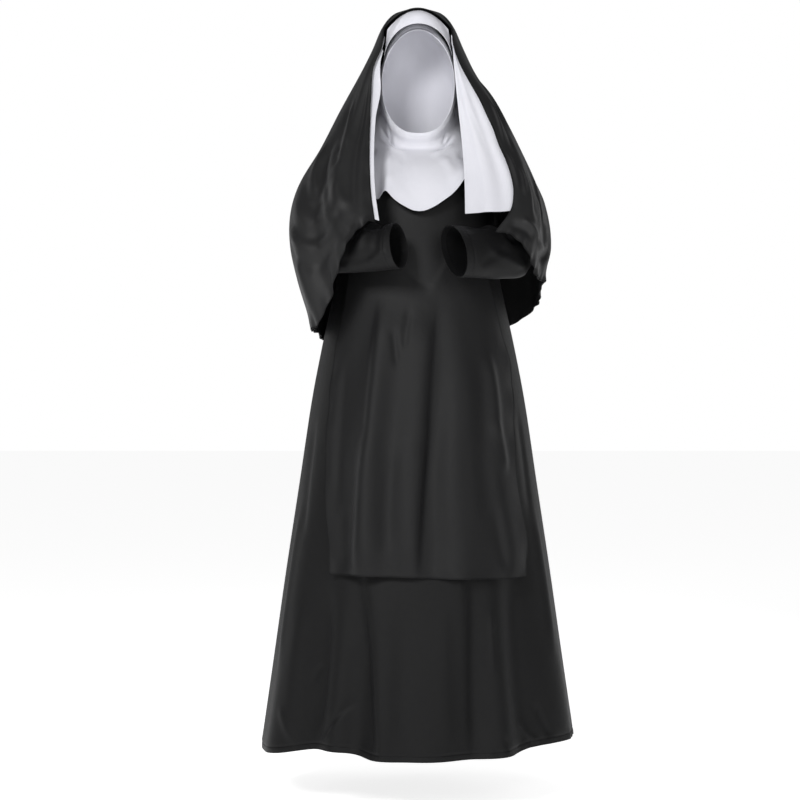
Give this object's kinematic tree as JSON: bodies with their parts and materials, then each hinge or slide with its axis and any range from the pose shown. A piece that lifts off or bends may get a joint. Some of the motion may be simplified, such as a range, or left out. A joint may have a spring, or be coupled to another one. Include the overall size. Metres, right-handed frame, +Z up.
{
  "type": "nun habit",
  "caption": "Worn, empty nun habit: long black robe with sleeves, hanging scapular, white wimple and forehead band, and a black veil with white lining.",
  "frame": {"origin": "midway between the shoulder tips, level with the shoulder seams, where the wearer holds the habit up", "axes": "+Z up, the wearer faces -Y, +X is to the right as seen from the front"},
  "size_m": [0.6835, 0.605, 1.6183],
  "materials": {
    "black_cloth": "matte black woven polyester, faint sheen",
    "sleeve_cloth": "matte black woven polyester, faint sheen",
    "scapular_cloth": "matte black woven polyester, faint sheen",
    "veil_cloth": "fine black woven polyester, faint sheen",
    "white_cloth": "matte white woven polyester",
    "lining_cloth": "matte white woven polyester"
  },
  "bodies": {
    "root": {"robe_front": "black_cloth", "robe_back": "black_cloth", "sleeve_left": "sleeve_cloth", "sleeve_right": "sleeve_cloth", "scapular_front": "scapular_cloth", "scapular_back": "scapular_cloth", "wimple": "white_cloth", "forehead_band": "white_cloth", "veil": "veil_cloth", "veil_lining_left": "lining_cloth", "veil_lining_right": "lining_cloth"}
  },
  "joints": []
}
